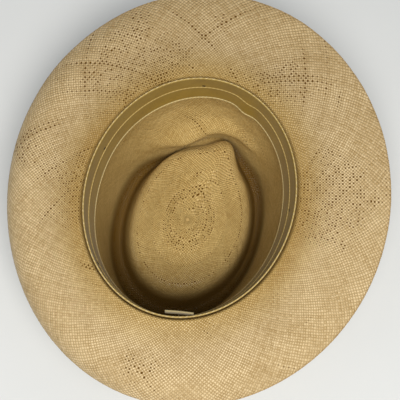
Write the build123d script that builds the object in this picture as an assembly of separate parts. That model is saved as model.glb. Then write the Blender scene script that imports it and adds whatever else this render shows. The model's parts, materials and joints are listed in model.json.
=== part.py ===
from build123d import *
import math
import os

# A woven straw hat lying on its crown with the head opening up.
# +Z is up, +Y is the front of the hat and +X the wearer's left.
# The origin lies on the resting surface, under the middle of the brim's outline.
# All lengths are in millimetres and all angles in degrees.
# A "turn" is an angle about the crown's axis, from the front towards the wearer's left.

# Crown
OPENING_HALF_WIDTH = 84.5
OPENING_HALF_LENGTH = 100.5
CROWN_DEPTH = 112.0
STRAW_THICKNESS = 1.2
SIDE_TAPER = 0.18
END_TAPER = 0.075
END_TAPER_SWING = 0.045
CROWN_CENTRE_X = -5.0
CROWN_CENTRE_Y = -7.1

# Teardrop dent in the crown's top
DENT_HALF_WIDTH = 51.0
DENT_HALF_LENGTH = 68.5
DENT_SHIFT = 2.5
DENT_DEPTH = 22.0
DENT_DOME = 2.0
TEARDROP_LENGTH = 13.0
TEARDROP_TURN = 10.0
TEARDROP_SPREAD = 10.0
FOOT_HEIGHT = 12.0
# The floor falls from its middle to its edge: share of the edge's radius, drop below the dent's depth
FLOOR_SHAPE = ((0.4, -1.6), (0.75, -0.6), (0.92, 0.7), (1.0, 4.5))
# The groove round the floor, which the hat lies on: share of the groove's width, height
GROOVE_SHAPE = ((0.18, 9.9), (0.5, 1.2), (0.84, 4.8), (1.0, FOOT_HEIGHT))
WALL_HEIGHTS = (24.0, 36.0, 48.0, 60.0, 72.0, 84.0, 96.0, 106.0)

# Pinches at the front of the crown, which run into the dent and fill the groove there
RIGHT_PINCH_DEPTH = 21.0
RIGHT_PINCH_TURN = -20.0
RIGHT_PINCH_SPREAD = 27.0
LEFT_PINCH_DEPTH = 6.0
LEFT_PINCH_TURN = 22.0
LEFT_PINCH_SPREAD = 14.0
PINCH_HEIGHT = 12.0
PINCH_REACH = 39.0
FILL_TURN = -8.0
FILL_SPREAD = 20.0
FILL_HEIGHT = 14.0

# Brim
# The rounded break from wall to brim: distance out of the oval, depth under the opening
BREAK_SHAPE = ((0.3, 2.0), (1.4, 0.5))
BRIM_BREAK = 3.5
FLAT_SHARES = (0.35, 0.7, 1.0)
CURL_SHARES = (0.25, 0.5, 0.75, 1.0)
BRIM_WIDTH = 72.0
BRIM_EXTRA_WIDTH = 4.0
BRIM_WIDEST_TURN = 35.0
CURL_LENGTH = 30.0
LEAST_CURL = 6.0
MOST_CURL = 72.0
CURL_TURN = 231.0
CURL_SHARPNESS = 1.5
BRIM_SLOPE = 4.3
BRIM_SLOPE_SWING = 5.5
BRIM_STEEPEST_TURN = 161.0

# Sweatband inside the crown
LINING_GAP = 0.4
SWEATBAND_THICKNESS = 0.8
SWEATBAND_TOP = CROWN_DEPTH - 2.6
SWEATBAND_BOTTOM = CROWN_DEPTH - 35.0
SEAM_TURN = 168.5
SEAM_HALF_GAP = 0.25
REED_CLEARANCE = 0.1
BINDING_CLEARANCE = 0.05
REED_SIZE = 1.6
RIDGE_CORD_SIZE = 1.3
RIDGE_CORD_HEIGHT = CROWN_DEPTH - 18.5
BINDING_HEIGHT = 2.2
BINDING_THICKNESS = 1.4

# Stitches
THREAD = 0.5
THREAD_CLEARANCE = 0.2
REED_STITCH_COUNT = 110
REED_STITCH_LENGTH = 3.2
SEAM_STITCH_COUNT = 6
SEAM_STITCH_WIDTH = 3.4
LOWEST_SEAM_STITCH = 2.0

# Size tab at the back of the sweatband
TAB_WIDTH = 22.0
TAB_DROP = 13.0
TAB_THICKNESS = 0.6
TAB_CORNER = 2.0
TAB_GAP = 0.35
TAB_TOP = CROWN_DEPTH + 0.6
TAB_PIN_RADIUS = 0.3

# Ribbon and bow outside the crown
RIBBON_GAP = 0.9
RIBBON_THICKNESS = 0.7
RIBBON_TOP = CROWN_DEPTH - 7.0
RIBBON_WIDTH = 36.0
BOW_TURN = 92.0
BOW_LOOP_TURN = 17.0
BOW_LOOP_THICKNESS = 2.4
BOW_KNOT_TURN = 4.2
BOW_KNOT_THICKNESS = 3.6
BOW_TAIL_TURN = 24.0
BOW_KNOT_CLEARANCE = 0.3
LOOP_DROP = 1.0
TAIL_DROP = 1.5
TAIL_SLANT = 10.0
KNOT_RISE = 0.8
LAYER_GAP = 0.3
TACK_TURNS = (80.0, 217.0, 284.0, 350.0)
TACK_WIDTH = 2.2
TACK_HEIGHT = 1.2
TACK_DROP = 3.0
TACK_CLEARANCE = 0.6

# Fineness of the curved surfaces
RING_POINTS = 48
PROFILE_STEPS = 2
STRIP_STEP = 7.5
POLE_RADIUS = 1.5
NARROW_STRIP = 5.0


def swell(turn, centre, spread):
    """A smooth hump around the crown: 1 at its centre, fading over the spread."""
    offset = (turn - centre + 180.0) % 360.0 - 180.0
    return math.exp(-((offset / spread) ** 2))


def oval_radius(turn, half_width, half_length):
    """Distance from the crown's axis to an oval."""
    across = math.sin(math.radians(turn)) / half_width
    along = math.cos(math.radians(turn)) / half_length
    return 1.0 / math.hypot(across, along)


def swing(turn, towards):
    """1 on one side of the hat, -1 on the opposite side, smooth between."""
    return math.cos(math.radians(turn - towards))


def wall_radius(turn, height):
    """Distance from the crown's axis to the inside of its wall."""
    depth = CROWN_DEPTH - height
    end_taper = END_TAPER - END_TAPER_SWING * swing(turn, 0.0)
    oval = oval_radius(
        turn,
        OPENING_HALF_WIDTH - SIDE_TAPER * depth,
        OPENING_HALF_LENGTH - end_taper * depth,
    )
    right_pinch = RIGHT_PINCH_DEPTH * swell(turn, RIGHT_PINCH_TURN, RIGHT_PINCH_SPREAD)
    left_pinch = LEFT_PINCH_DEPTH * swell(turn, LEFT_PINCH_TURN, LEFT_PINCH_SPREAD)
    reach = math.exp(-(((height - PINCH_HEIGHT) / PINCH_REACH) ** 2))
    return oval - reach * (right_pinch + left_pinch)


def dent_radius(turn):
    """Distance from the crown's axis to the edge of the teardrop floor."""
    tip = TEARDROP_LENGTH * swell(turn, TEARDROP_TURN, TEARDROP_SPREAD)
    half_width = DENT_HALF_WIDTH + DENT_SHIFT * swing(turn, 90.0)
    half_length = DENT_HALF_LENGTH + DENT_SHIFT * swing(turn, 0.0)
    return oval_radius(turn, half_width, half_length) + tip


def dent_profile(turn):
    """Inside of the teardrop floor and of the groove round it, as radius and height."""
    edge = dent_radius(turn)
    foot = wall_radius(turn, FOOT_HEIGHT)
    groove = foot - edge
    middle = [(POLE_RADIUS, DENT_DEPTH + DENT_DOME)]
    floor = [(share * edge, DENT_DEPTH - drop) for share, drop in FLOOR_SHAPE]
    fill = swell(turn, FILL_TURN, FILL_SPREAD)
    round_it = [
        (edge + share * groove, height + fill * max(0.0, FILL_HEIGHT - height))
        for share, height in GROOVE_SHAPE
    ]
    return middle + floor + round_it


def wall_profile(turn):
    """Inside of the crown's wall, from the foot up to the opening."""
    return [(wall_radius(turn, height), height) for height in WALL_HEIGHTS]


def brim_profile(turn):
    """Upper face of the brim: a rounded break, a sloping flat and a curl to the edge."""
    start = oval_radius(turn, OPENING_HALF_WIDTH, OPENING_HALF_LENGTH)
    width = BRIM_WIDTH + BRIM_EXTRA_WIDTH * swing(turn, BRIM_WIDEST_TURN)
    slope = math.radians(BRIM_SLOPE + BRIM_SLOPE_SWING * swing(turn, BRIM_STEEPEST_TURN))
    share = ((1.0 + swing(turn, CURL_TURN)) / 2.0) ** CURL_SHARPNESS
    curl = math.radians(LEAST_CURL + (MOST_CURL - LEAST_CURL) * share)
    flat = width - CURL_LENGTH
    radius = CURL_LENGTH / curl
    points = [(start + out, CROWN_DEPTH - down) for out, down in BREAK_SHAPE]
    for part in (BRIM_BREAK / flat, *FLAT_SHARES):
        run = part * flat
        points.append((start + run * math.cos(slope), CROWN_DEPTH - run * math.sin(slope)))
    last_radius, last_height = points[-1]
    for part in CURL_SHARES:
        angle = slope + part * curl
        out = radius * (math.sin(angle) - math.sin(slope))
        down = radius * (math.cos(slope) - math.cos(angle))
        points.append((last_radius + out, last_height - down))
    return points


def smooth_curve(points, steps):
    """Points along a Catmull-Rom curve through the given points."""
    padded = [points[0]] + points + [points[-1]]
    curve = []
    for a, b, c, d in zip(padded, padded[1:], padded[2:], padded[3:]):
        for step in range(steps):
            t = step / steps
            curve.append(tuple(
                0.5 * (2 * q + (r - p) * t + (2 * p - 5 * q + 4 * r - s) * t ** 2
                       + (3 * q - p - 3 * r + s) * t ** 3)
                for p, q, r, s in zip(a, b, c, d)
            ))
    curve.append(points[-1])
    return curve


def outside_of(profile):
    """The same profile moved out of the hat by the straw's thickness."""
    moved = []
    last = len(profile) - 1
    for index, (radius, height) in enumerate(profile):
        before = profile[max(index - 1, 0)]
        after = profile[min(index + 1, last)]
        run = after[0] - before[0]
        rise = after[1] - before[1]
        length = math.hypot(run, rise)
        moved.append((
            radius + STRAW_THICKNESS * rise / length,
            height - STRAW_THICKNESS * run / length,
        ))
    moved[0] = (POLE_RADIUS, profile[0][1] - STRAW_THICKNESS)
    return moved


def hat_section(turn):
    """The whole cut through the straw on one side: inside, round the edge, outside."""
    inside = smooth_curve(dent_profile(turn) + wall_profile(turn) + brim_profile(turn), PROFILE_STEPS)
    outside = outside_of(inside)
    before, end = inside[-2], inside[-1]
    reach = 0.5 * STRAW_THICKNESS / math.dist(before, end)
    edge = (
        (end[0] + outside[-1][0]) / 2 + reach * (end[0] - before[0]),
        (end[1] + outside[-1][1]) / 2 + reach * (end[1] - before[1]),
    )
    return inside + [edge] + outside[::-1]


def place(turn, radius, height):
    """A point of the hat from its turn, its distance from the crown's axis and its height."""
    angle = math.radians(turn)
    return Vector(
        CROWN_CENTRE_X + radius * math.sin(angle),
        CROWN_CENTRE_Y + radius * math.cos(angle),
        height,
    )


def straw_body():
    """Crown and brim, woven in one: a thin wall lofted through closed rings."""
    turns = [360.0 * index / RING_POINTS for index in range(RING_POINTS)]
    even = [index / RING_POINTS for index in range(RING_POINTS + 1)]
    sections = [hat_section(turn) for turn in turns]
    rings = []
    for station in zip(*sections):
        points = [place(turn, *spot) for turn, spot in zip(turns, station)]
        rings.append(Wire([Edge.make_spline(points, periodic=True, parameters=even)]))
    return Solid.make_loft(rings, ruled=True)


def strip(first_turn, last_turn, outline):
    """A strip along the crown's wall. The outline gives its cut as radius and height."""
    count = max(1, math.ceil((last_turn - first_turn) / STRIP_STEP))
    cuts = []
    for index in range(count + 1):
        turn = first_turn + (last_turn - first_turn) * index / count
        cuts.append(Wire.make_polygon([place(turn, *spot) for spot in outline(turn)]))
    return Solid.make_loft(cuts)


def inner_strip(first_turn, last_turn, low, high, near, far):
    """A strip inside the crown, from near to far out of the wall's inner face."""
    parts = 1 if high - low < NARROW_STRIP else 2
    heights = [low + (high - low) * index / parts for index in range(parts + 1)]

    def outline(turn):
        wall = [(wall_radius(turn, height), height) for height in heights]
        face = [(radius - near, height) for radius, height in wall]
        back = [(radius - far, height) for radius, height in wall]
        return face + back[::-1]

    return strip(first_turn, last_turn, outline)


def thread_block(turn, height, near, width, tall):
    """A short piece of thread inside the crown, lying along the wall."""
    radius = wall_radius(turn, height) - near - THREAD / 2
    spot = place(turn, radius, height + tall / 2)
    return Pos(spot) * Rot(0, 0, -turn) * Box(width, THREAD, tall)


def outer_strip(first_turn, last_turn, low, high, near, far):
    """A strip outside the crown, from near to far out of the wall's outer face."""
    return inner_strip(
        first_turn, last_turn, low, high, -STRAW_THICKNESS - near, -STRAW_THICKNESS - far
    )


def around(low, high, near, far):
    """An inner strip all the way round, with its ends meeting at the back seam."""
    first = SEAM_TURN + SEAM_HALF_GAP
    return inner_strip(first, first + 360.0 - 2 * SEAM_HALF_GAP, low, high, near, far)


def sweatband():
    return around(SWEATBAND_BOTTOM, SWEATBAND_TOP, LINING_GAP, LINING_GAP + SWEATBAND_THICKNESS)


def sweatband_reed():
    low = SWEATBAND_TOP + REED_CLEARANCE
    return around(low, low + REED_SIZE, LINING_GAP, LINING_GAP + REED_SIZE)


def sweatband_ridge_cord():
    near = LINING_GAP + SWEATBAND_THICKNESS + THREAD_CLEARANCE
    low = RIDGE_CORD_HEIGHT - RIDGE_CORD_SIZE / 2
    return around(low, low + RIDGE_CORD_SIZE, near, near + RIDGE_CORD_SIZE)


def sweatband_binding():
    high = SWEATBAND_BOTTOM - BINDING_CLEARANCE
    return around(high - BINDING_HEIGHT, high, LINING_GAP, LINING_GAP + BINDING_THICKNESS)


def reed_stitches():
    """Short stitches along the top of the reed."""
    low = SWEATBAND_TOP + REED_CLEARANCE + REED_SIZE + THREAD_CLEARANCE
    near = LINING_GAP + REED_SIZE / 2
    room = 360.0 / REED_STITCH_COUNT
    stitches = []
    for index in range(REED_STITCH_COUNT):
        turn = SEAM_TURN + room * (index + 0.5)
        stitches.append(thread_block(turn, low, near, REED_STITCH_LENGTH, THREAD))
    return Compound(children=stitches)


def seam_stitches():
    """A ladder of stitches that closes the sweatband's ends at the back."""
    near = LINING_GAP + SWEATBAND_THICKNESS + THREAD_CLEARANCE
    lowest = SWEATBAND_BOTTOM + LOWEST_SEAM_STITCH
    room = (RIDGE_CORD_HEIGHT - RIDGE_CORD_SIZE - lowest) / SEAM_STITCH_COUNT
    stitches = []
    for index in range(SEAM_STITCH_COUNT):
        low = lowest + room * index
        stitches.append(thread_block(SEAM_TURN, low, near, SEAM_STITCH_WIDTH, THREAD))
    return Compound(children=stitches)


def tab_plane():
    """The tab's own plane: X along the sweatband, Y up, Z towards the head."""
    chord = TAB_WIDTH ** 2 / (8 * OPENING_HALF_WIDTH)
    depth = LINING_GAP + REED_SIZE + TAB_GAP + chord + TAB_THICKNESS
    radius = wall_radius(SEAM_TURN, TAB_TOP - TAB_DROP) - depth
    inward = place(SEAM_TURN, 0, 0) - place(SEAM_TURN, 1, 0)
    along = inward.cross(Vector(0, 0, 1))
    return Plane(origin=place(SEAM_TURN, radius, TAB_TOP), x_dir=-along, z_dir=inward)


def size_tab():
    """A folded tab that hangs from its crease and can be lifted."""
    flap = Pos(0, -TAB_DROP / 2, TAB_THICKNESS / 2) * Box(TAB_WIDTH, TAB_DROP, TAB_THICKNESS)
    crease = Pos(0, 0, TAB_THICKNESS / 2) * Rot(0, 90, 0) * Cylinder(TAB_PIN_RADIUS, TAB_WIDTH)
    rounded = fillet(flap.edges().filter_by(Axis.Z).group_by(Axis.Y)[0], TAB_CORNER)
    return tab_plane().location * (rounded + crease)


def ribbon():
    """The band of ribbon outside the crown, with its ends meeting under the bow."""
    return outer_strip(
        BOW_TURN + SEAM_HALF_GAP,
        BOW_TURN + 360.0 - SEAM_HALF_GAP,
        RIBBON_TOP - RIBBON_WIDTH,
        RIBBON_TOP,
        RIBBON_GAP,
        RIBBON_GAP + RIBBON_THICKNESS,
    )


def bow_piece(first, last, drop, near, thickness):
    """One flat fold of the bow, a little narrower than the ribbon under it."""
    return outer_strip(
        BOW_TURN + first,
        BOW_TURN + last,
        RIBBON_TOP - RIBBON_WIDTH + drop,
        RIBBON_TOP - drop,
        near,
        near + thickness,
    )


def bow_front_loop():
    near = RIBBON_GAP + RIBBON_THICKNESS + LAYER_GAP
    last = -BOW_KNOT_TURN - BOW_KNOT_CLEARANCE
    return bow_piece(-BOW_LOOP_TURN, last, LOOP_DROP, near, BOW_LOOP_THICKNESS)


def bow_back_loop():
    near = RIBBON_GAP + 2 * RIBBON_THICKNESS + 2 * LAYER_GAP
    first = BOW_KNOT_TURN + BOW_KNOT_CLEARANCE
    return bow_piece(first, BOW_LOOP_TURN, LOOP_DROP, near, BOW_LOOP_THICKNESS)


def bow_tail():
    """The ribbon's free end, under the back loop, cut on a slant."""
    near = RIBBON_GAP + RIBBON_THICKNESS + LAYER_GAP
    first = BOW_TURN + BOW_KNOT_TURN + BOW_KNOT_CLEARANCE
    last = BOW_TURN + BOW_TAIL_TURN

    def outline(turn):
        low = RIBBON_TOP - RIBBON_WIDTH + TAIL_DROP
        past_loop = max(0.0, (turn - BOW_TURN - BOW_LOOP_TURN) / (BOW_TAIL_TURN - BOW_LOOP_TURN))
        high = RIBBON_TOP - TAIL_DROP - TAIL_SLANT * past_loop
        face = STRAW_THICKNESS + near
        back = face + RIBBON_THICKNESS
        return [
            (wall_radius(turn, low) + face, low),
            (wall_radius(turn, low) + back, low),
            (wall_radius(turn, high) + back, high),
            (wall_radius(turn, high) + face, high),
        ]

    return strip(first, last, outline)


def bow_knot():
    near = RIBBON_GAP + RIBBON_THICKNESS + LAYER_GAP
    return bow_piece(-BOW_KNOT_TURN, BOW_KNOT_TURN, -KNOT_RISE, near, BOW_KNOT_THICKNESS)


def hatband_tacks():
    """Thread knots of the tacks that hold the ribbon, on the sweatband and on the ribbon."""
    on_sweatband = LINING_GAP + SWEATBAND_THICKNESS + THREAD_CLEARANCE
    on_ribbon = -STRAW_THICKNESS - RIBBON_GAP - RIBBON_THICKNESS - TACK_CLEARANCE - THREAD
    inner_low = RIDGE_CORD_HEIGHT + RIDGE_CORD_SIZE
    outer_low = RIBBON_TOP - TACK_DROP
    knots = []
    for turn in TACK_TURNS:
        knots.append(thread_block(turn, inner_low, on_sweatband, TACK_WIDTH, TACK_HEIGHT))
        hidden_by_bow = abs(turn - BOW_TURN) < BOW_TAIL_TURN
        if not hidden_by_bow:
            knots.append(thread_block(turn, outer_low, on_ribbon, TACK_WIDTH, TACK_HEIGHT))
    return Compound(children=knots)


NODES = {
    "straw_body": straw_body,
    "sweatband": sweatband,
    "sweatband_reed": sweatband_reed,
    "sweatband_ridge_cord": sweatband_ridge_cord,
    "sweatband_binding": sweatband_binding,
    "reed_stitches": reed_stitches,
    "sweatband_seam_stitches": seam_stitches,
    "size_tab": size_tab,
    "hatband_ribbon": ribbon,
    "bow_front_loop": bow_front_loop,
    "bow_back_loop": bow_back_loop,
    "bow_tail": bow_tail,
    "bow_knot": bow_knot,
    "hatband_tacks": hatband_tacks,
}

os.makedirs("parts", exist_ok=True)
for node, make in NODES.items():
    export_step(make(), os.path.join("parts", node + ".step"))

crease = tab_plane().origin
print("tab crease (mm):", round(crease.X, 3), round(crease.Y, 3), round(crease.Z, 3))
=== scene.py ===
# %% [markdown]
# # A woven palm-straw hat, resting on its crown
# The hat lies upside down, as a hat is put down with care, so its opening looks up. The engineering model
# is loaded first and stays as it is: it gives every place and size. Each cell after that makes one piece
# or one finish around it, in the order in which a hatter makes them: straw, lining, ribbon.

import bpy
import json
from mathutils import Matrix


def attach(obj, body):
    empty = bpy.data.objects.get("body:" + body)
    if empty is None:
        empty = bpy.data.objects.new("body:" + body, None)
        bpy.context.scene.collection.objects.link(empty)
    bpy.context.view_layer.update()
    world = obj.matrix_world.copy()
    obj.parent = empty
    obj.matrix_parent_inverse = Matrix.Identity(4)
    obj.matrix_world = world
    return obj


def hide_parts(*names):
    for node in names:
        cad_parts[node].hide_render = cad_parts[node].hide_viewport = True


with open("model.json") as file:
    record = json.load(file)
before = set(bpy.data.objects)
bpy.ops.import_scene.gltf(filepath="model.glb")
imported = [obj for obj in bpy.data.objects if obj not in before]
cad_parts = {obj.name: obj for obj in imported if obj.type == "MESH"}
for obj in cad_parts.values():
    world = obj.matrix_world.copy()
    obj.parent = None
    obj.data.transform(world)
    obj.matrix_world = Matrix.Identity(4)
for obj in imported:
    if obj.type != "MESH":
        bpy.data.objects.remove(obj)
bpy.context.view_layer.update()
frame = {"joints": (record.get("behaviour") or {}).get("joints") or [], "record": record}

# %% [markdown]
# ## Small tools
# Lengths are in millimetres, because hats are measured so, and `place` turns them into Blender's metres.
# A place on the hat is a turn about the crown's axis (0 is the front, 90 the wearer's left), a distance
# from that axis and a height. The axis is read from the frame, and so is the opening's height.

# %% Units, axis and colours
import json
import math

import bmesh
import bpy
from mathutils import Matrix, Vector, noise

MM = 0.001
mounts = {mount["name"]: mount for mount in frame["record"]["mounts"]}
CENTRE_X, CENTRE_Y, OPENING_Z = mounts["head_opening"]["pos_m"]
CROWN_DEPTH = OPENING_Z / MM


def place(turn, radius, height):
    """A point in metres from a turn in degrees, a radius and a height in millimetres."""
    angle = math.radians(turn)
    return Vector((
        CENTRE_X + radius * MM * math.sin(angle),
        CENTRE_Y + radius * MM * math.cos(angle),
        height * MM,
    ))


def linear(hex_colour):
    """An sRGB hex colour as the linear red, green, blue and alpha that shaders work in."""
    parts = [int(hex_colour[i:i + 2], 16) / 255 for i in (1, 3, 5)]
    return tuple(p / 12.92 if p <= 0.04045 else ((p + 0.055) / 1.055) ** 2.4 for p in parts) + (1.0,)


def add(tree, kind, inputs=None, **settings):
    """Adds a node with its settings. Inputs are values, sockets, or nodes whose first output is used."""
    node = tree.nodes.new(kind)
    for name, value in settings.items():
        setattr(node, name, value)
    for key, value in (inputs or {}).items():
        if isinstance(value, bpy.types.Node):
            value = value.outputs[0]
        if isinstance(value, bpy.types.NodeSocket):
            tree.links.new(value, node.inputs[key])
        else:
            node.inputs[key].default_value = value
    return node


def clamp(value):
    return max(0.0, min(1.0, value))


def hump(distance, spread):
    """A smooth hump: 1 where the distance is 0, fading over the spread."""
    return math.exp(-((distance / spread) ** 2))


def new_object(name, data):
    """An object in the scene that shows this data."""
    made = bpy.data.objects.new(name, data)
    bpy.context.scene.collection.objects.link(made)
    return made


def triangles(piece):
    return sum(len(face.vertices) - 2 for face in piece.data.polygons)


print("crown axis (mm):", round(CENTRE_X / MM, 1), round(CENTRE_Y / MM, 1), "opening at", CROWN_DEPTH)

# %% [markdown]
# ## Meshes from rows of points
# Straw, cloth and cord are all surfaces that can be drawn as rows of points with squares between them.
# One function makes them all and gives each its UV map, which says where a spot of the surface was on
# the flat cloth. Straw counts in strands there, and cloth in real millimetres, so a weave keeps its size.

# %% One mesh builder for every surface
CLOTH_MAP = "cloth"


def surface(name, rows, flat, ring=False, tube=False):
    """Squares through rows of points. flat(face_row, row, column) gives the UV of a corner.

    A ring closes each row on itself, and a tube joins the last row to the first.
    """
    height, width = len(rows), len(rows[0])
    faces, corners = [], []
    for row in range(height if tube else height - 1):
        for column in range(width if ring else width - 1):
            spots = [(row, column), (row, column + 1), (row + 1, column + 1), (row + 1, column)]
            faces.append([(r % height) * width + c % width for r, c in spots])
            for r, c in spots:
                corners.extend(flat(row, r, c))
    mesh = bpy.data.meshes.new(name)
    mesh.from_pydata([point for row in rows for point in row], [], faces)
    mesh.uv_layers.new(name=CLOTH_MAP).uv.foreach_set("vector", corners)
    return new_object(name, mesh)


def tidy(piece, material):
    """Turns the faces outwards, smooths them and gives the piece its material."""
    shape = bmesh.new()
    shape.from_mesh(piece.data)
    bmesh.ops.recalc_face_normals(shape, faces=shape.faces)
    for face in shape.faces:
        face.smooth = True
    shape.to_mesh(piece.data)
    shape.free()
    piece.data.materials.clear()
    piece.data.materials.append(material)
    return piece


def bake_modifiers(piece):
    """Keeps what the piece's modifiers make as a plain mesh and takes the modifiers away."""
    evaluated = piece.evaluated_get(bpy.context.evaluated_depsgraph_get())
    mesh = bpy.data.meshes.new_from_object(evaluated)
    name = piece.name
    made = new_object(name, mesh)
    bpy.data.objects.remove(piece)
    made.name = name
    return made


def thicken(piece, thickness):
    """Gives a sheet its real thickness, half of it on each side."""
    wall = piece.modifiers.new("thickness", "SOLIDIFY")
    wall.thickness = thickness * MM
    wall.offset = 0.0
    return bake_modifiers(piece)


print("surface, tidy, bake_modifiers and thicken are ready")

# %% [markdown]
# ## The hat's shape
# The crown is an oval tube that narrows towards its top, pinched at the front and pressed into a teardrop
# in the middle. The brim turns out of the opening over a rounded break, slopes gently and curls at its
# edge, most on the right at the back. These are the same formulas and numbers as the frame's, so the
# detailed straw lies where the plain one does, apart from the small waves and folds added further on.

# %% Crown, dent and brim formulas
OPENING_HALF_WIDTH = 84.5
OPENING_HALF_LENGTH = 100.5
STRAW_THICKNESS = 1.2
SIDE_TAPER = 0.18
END_TAPER = 0.075
END_TAPER_SWING = 0.045
DENT_HALF_WIDTH = 51.0
DENT_HALF_LENGTH = 68.5
DENT_SHIFT = 2.5
DENT_DEPTH = 22.0
DENT_DOME = 2.0
TEARDROP_LENGTH = 13.0
TEARDROP_TURN = 10.0
TEARDROP_SPREAD = 10.0
FOOT_HEIGHT = 12.0
FLOOR_SHAPE = ((0.4, -1.6), (0.75, -0.6), (0.92, 0.7), (1.0, 4.5))
GROOVE_SHAPE = ((0.18, 9.9), (0.5, 1.2), (0.84, 4.8), (1.0, FOOT_HEIGHT))
WALL_HEIGHTS = (24.0, 36.0, 48.0, 60.0, 72.0, 84.0, 96.0, 106.0)
PINCHES = ((21.0, -20.0, 27.0), (6.0, 22.0, 14.0))
PINCH_HEIGHT = 12.0
PINCH_REACH = 39.0
FILL_TURN = -8.0
FILL_SPREAD = 20.0
FILL_HEIGHT = 14.0
BREAK_SHAPE = ((0.3, 2.0), (1.4, 0.5))
BRIM_BREAK = 3.5
FLAT_SHARES = (0.35, 0.7, 1.0)
CURL_SHARES = (0.25, 0.5, 0.75, 1.0)
BRIM_WIDTH = 72.0
BRIM_EXTRA_WIDTH = 4.0
BRIM_WIDEST_TURN = 35.0
CURL_LENGTH = 30.0
LEAST_CURL = 6.0
MOST_CURL = 72.0
CURL_TURN = 231.0
CURL_SHARPNESS = 1.5
BRIM_SLOPE = 4.3
BRIM_SLOPE_SWING = 5.5
BRIM_STEEPEST_TURN = 161.0
POLE_RADIUS = 1.5


def swell(turn, centre, spread):
    """A smooth hump around the crown: 1 at its centre, fading over the spread."""
    offset = (turn - centre + 180.0) % 360.0 - 180.0
    return hump(offset, spread)


def swing(turn, towards):
    """1 on one side of the hat, -1 on the opposite side, smooth between."""
    return math.cos(math.radians(turn - towards))


def round_turns(count):
    """Turns spaced evenly all the way round, starting at the back."""
    return [360.0 * index / count + 180.0 for index in range(count)]


def oval_radius(turn, half_width, half_length):
    """Distance from the crown's axis to an oval."""
    across = math.sin(math.radians(turn)) / half_width
    along = math.cos(math.radians(turn)) / half_length
    return 1.0 / math.hypot(across, along)


def opening_radius(turn):
    return oval_radius(turn, OPENING_HALF_WIDTH, OPENING_HALF_LENGTH)


def wall_radius(turn, height):
    """Distance from the crown's axis to the inside of its wall."""
    depth = CROWN_DEPTH - height
    width = OPENING_HALF_WIDTH - SIDE_TAPER * depth
    length = OPENING_HALF_LENGTH - (END_TAPER - END_TAPER_SWING * swing(turn, 0.0)) * depth
    pinch = sum(deep * swell(turn, centre, spread) for deep, centre, spread in PINCHES)
    reach = hump(height - PINCH_HEIGHT, PINCH_REACH)
    return oval_radius(turn, width, length) - reach * pinch


def dent_profile(turn):
    """Inside of the teardrop floor and of the groove round it, as radius and height."""
    tip = TEARDROP_LENGTH * swell(turn, TEARDROP_TURN, TEARDROP_SPREAD)
    half_width = DENT_HALF_WIDTH + DENT_SHIFT * swing(turn, 90.0)
    half_length = DENT_HALF_LENGTH + DENT_SHIFT * swing(turn, 0.0)
    edge = oval_radius(turn, half_width, half_length) + tip
    groove = wall_radius(turn, FOOT_HEIGHT) - edge
    middle = [(POLE_RADIUS, DENT_DEPTH + DENT_DOME)]
    floor = [(share * edge, DENT_DEPTH - drop) for share, drop in FLOOR_SHAPE]
    fill = swell(turn, FILL_TURN, FILL_SPREAD)
    round_it = [(edge + share * groove, height + fill * max(0.0, FILL_HEIGHT - height))
                for share, height in GROOVE_SHAPE]
    return middle + floor + round_it


def brim_profile(turn):
    """Upper face of the brim: a rounded break, a sloping flat and a curl to the edge."""
    start = opening_radius(turn)
    width = BRIM_WIDTH + BRIM_EXTRA_WIDTH * swing(turn, BRIM_WIDEST_TURN)
    slope = math.radians(BRIM_SLOPE + BRIM_SLOPE_SWING * swing(turn, BRIM_STEEPEST_TURN))
    share = ((1.0 + swing(turn, CURL_TURN)) / 2.0) ** CURL_SHARPNESS
    curl = math.radians(LEAST_CURL + (MOST_CURL - LEAST_CURL) * share)
    flat = width - CURL_LENGTH
    radius = CURL_LENGTH / curl
    points = [(start + out, CROWN_DEPTH - down) for out, down in BREAK_SHAPE]
    for part in (BRIM_BREAK / flat, *FLAT_SHARES):
        run = part * flat
        points.append((start + run * math.cos(slope), CROWN_DEPTH - run * math.sin(slope)))
    last_radius, last_height = points[-1]
    for part in CURL_SHARES:
        angle = slope + part * curl
        out = radius * (math.sin(angle) - math.sin(slope))
        down = radius * (math.cos(slope) - math.cos(angle))
        points.append((last_radius + out, last_height - down))
    return points


def smooth_curve(points, steps):
    """Points along a Catmull-Rom curve through the given points."""
    padded = [points[0]] + points + [points[-1]]
    curve = []
    for a, b, c, d in zip(padded, padded[1:], padded[2:], padded[3:]):
        for step in range(steps):
            t = step / steps
            curve.append(tuple(
                0.5 * (2 * q + (r - p) * t + (2 * p - 5 * q + 4 * r - s) * t ** 2
                       + (3 * q - p - 3 * r + s) * t ** 3)
                for p, q, r, s in zip(a, b, c, d)
            ))
    curve.append(points[-1])
    return curve


print("opening (mm):", 2 * OPENING_HALF_WIDTH, "by", 2 * OPENING_HALF_LENGTH)

# %% [markdown]
# ## Hand-blocked unevenness
# Straw is steamed over a wooden block and keeps small waves where nothing holds it. Smooth noise moves the
# free straw by under a millimetre. The sweatband and the ribbon hold the wall still, so it stays true there.
# Soft folds, up to a centimetre deep, run above the front of the teardrop, where fingers pinch the hat.

# %% Waves in the free straw
WAVE_HEIGHT = 1.1
WAVE_LENGTH = 38.0
HELD_BRIM = 5.0
HELD_WALL = 60.0
FREEING_LENGTH = 14.0
PROFILE_STEPS = 5
RING_POINTS = 300
FLOOR_CLEAR = 8.0
CREASES = (  # inward reach, turn and spread round the hat, height and spread up the wall
    (10.5, -14.0, 19.0, 31.0, 7.5),
    (5.0, 8.0, 9.0, 35.0, 6.0),
    (3.0, 22.0, 7.0, 36.0, 6.0),
)


def freedom(turn, radius, height):
    """0 where the sweatband and the ribbon hold the straw, 1 where it is free."""
    out = radius - opening_radius(turn)
    wall = clamp((HELD_WALL - height) / FREEING_LENGTH) * clamp(height / FLOOR_CLEAR - 1)
    return max(clamp((out - HELD_BRIM) / FREEING_LENGTH), wall)


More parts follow.
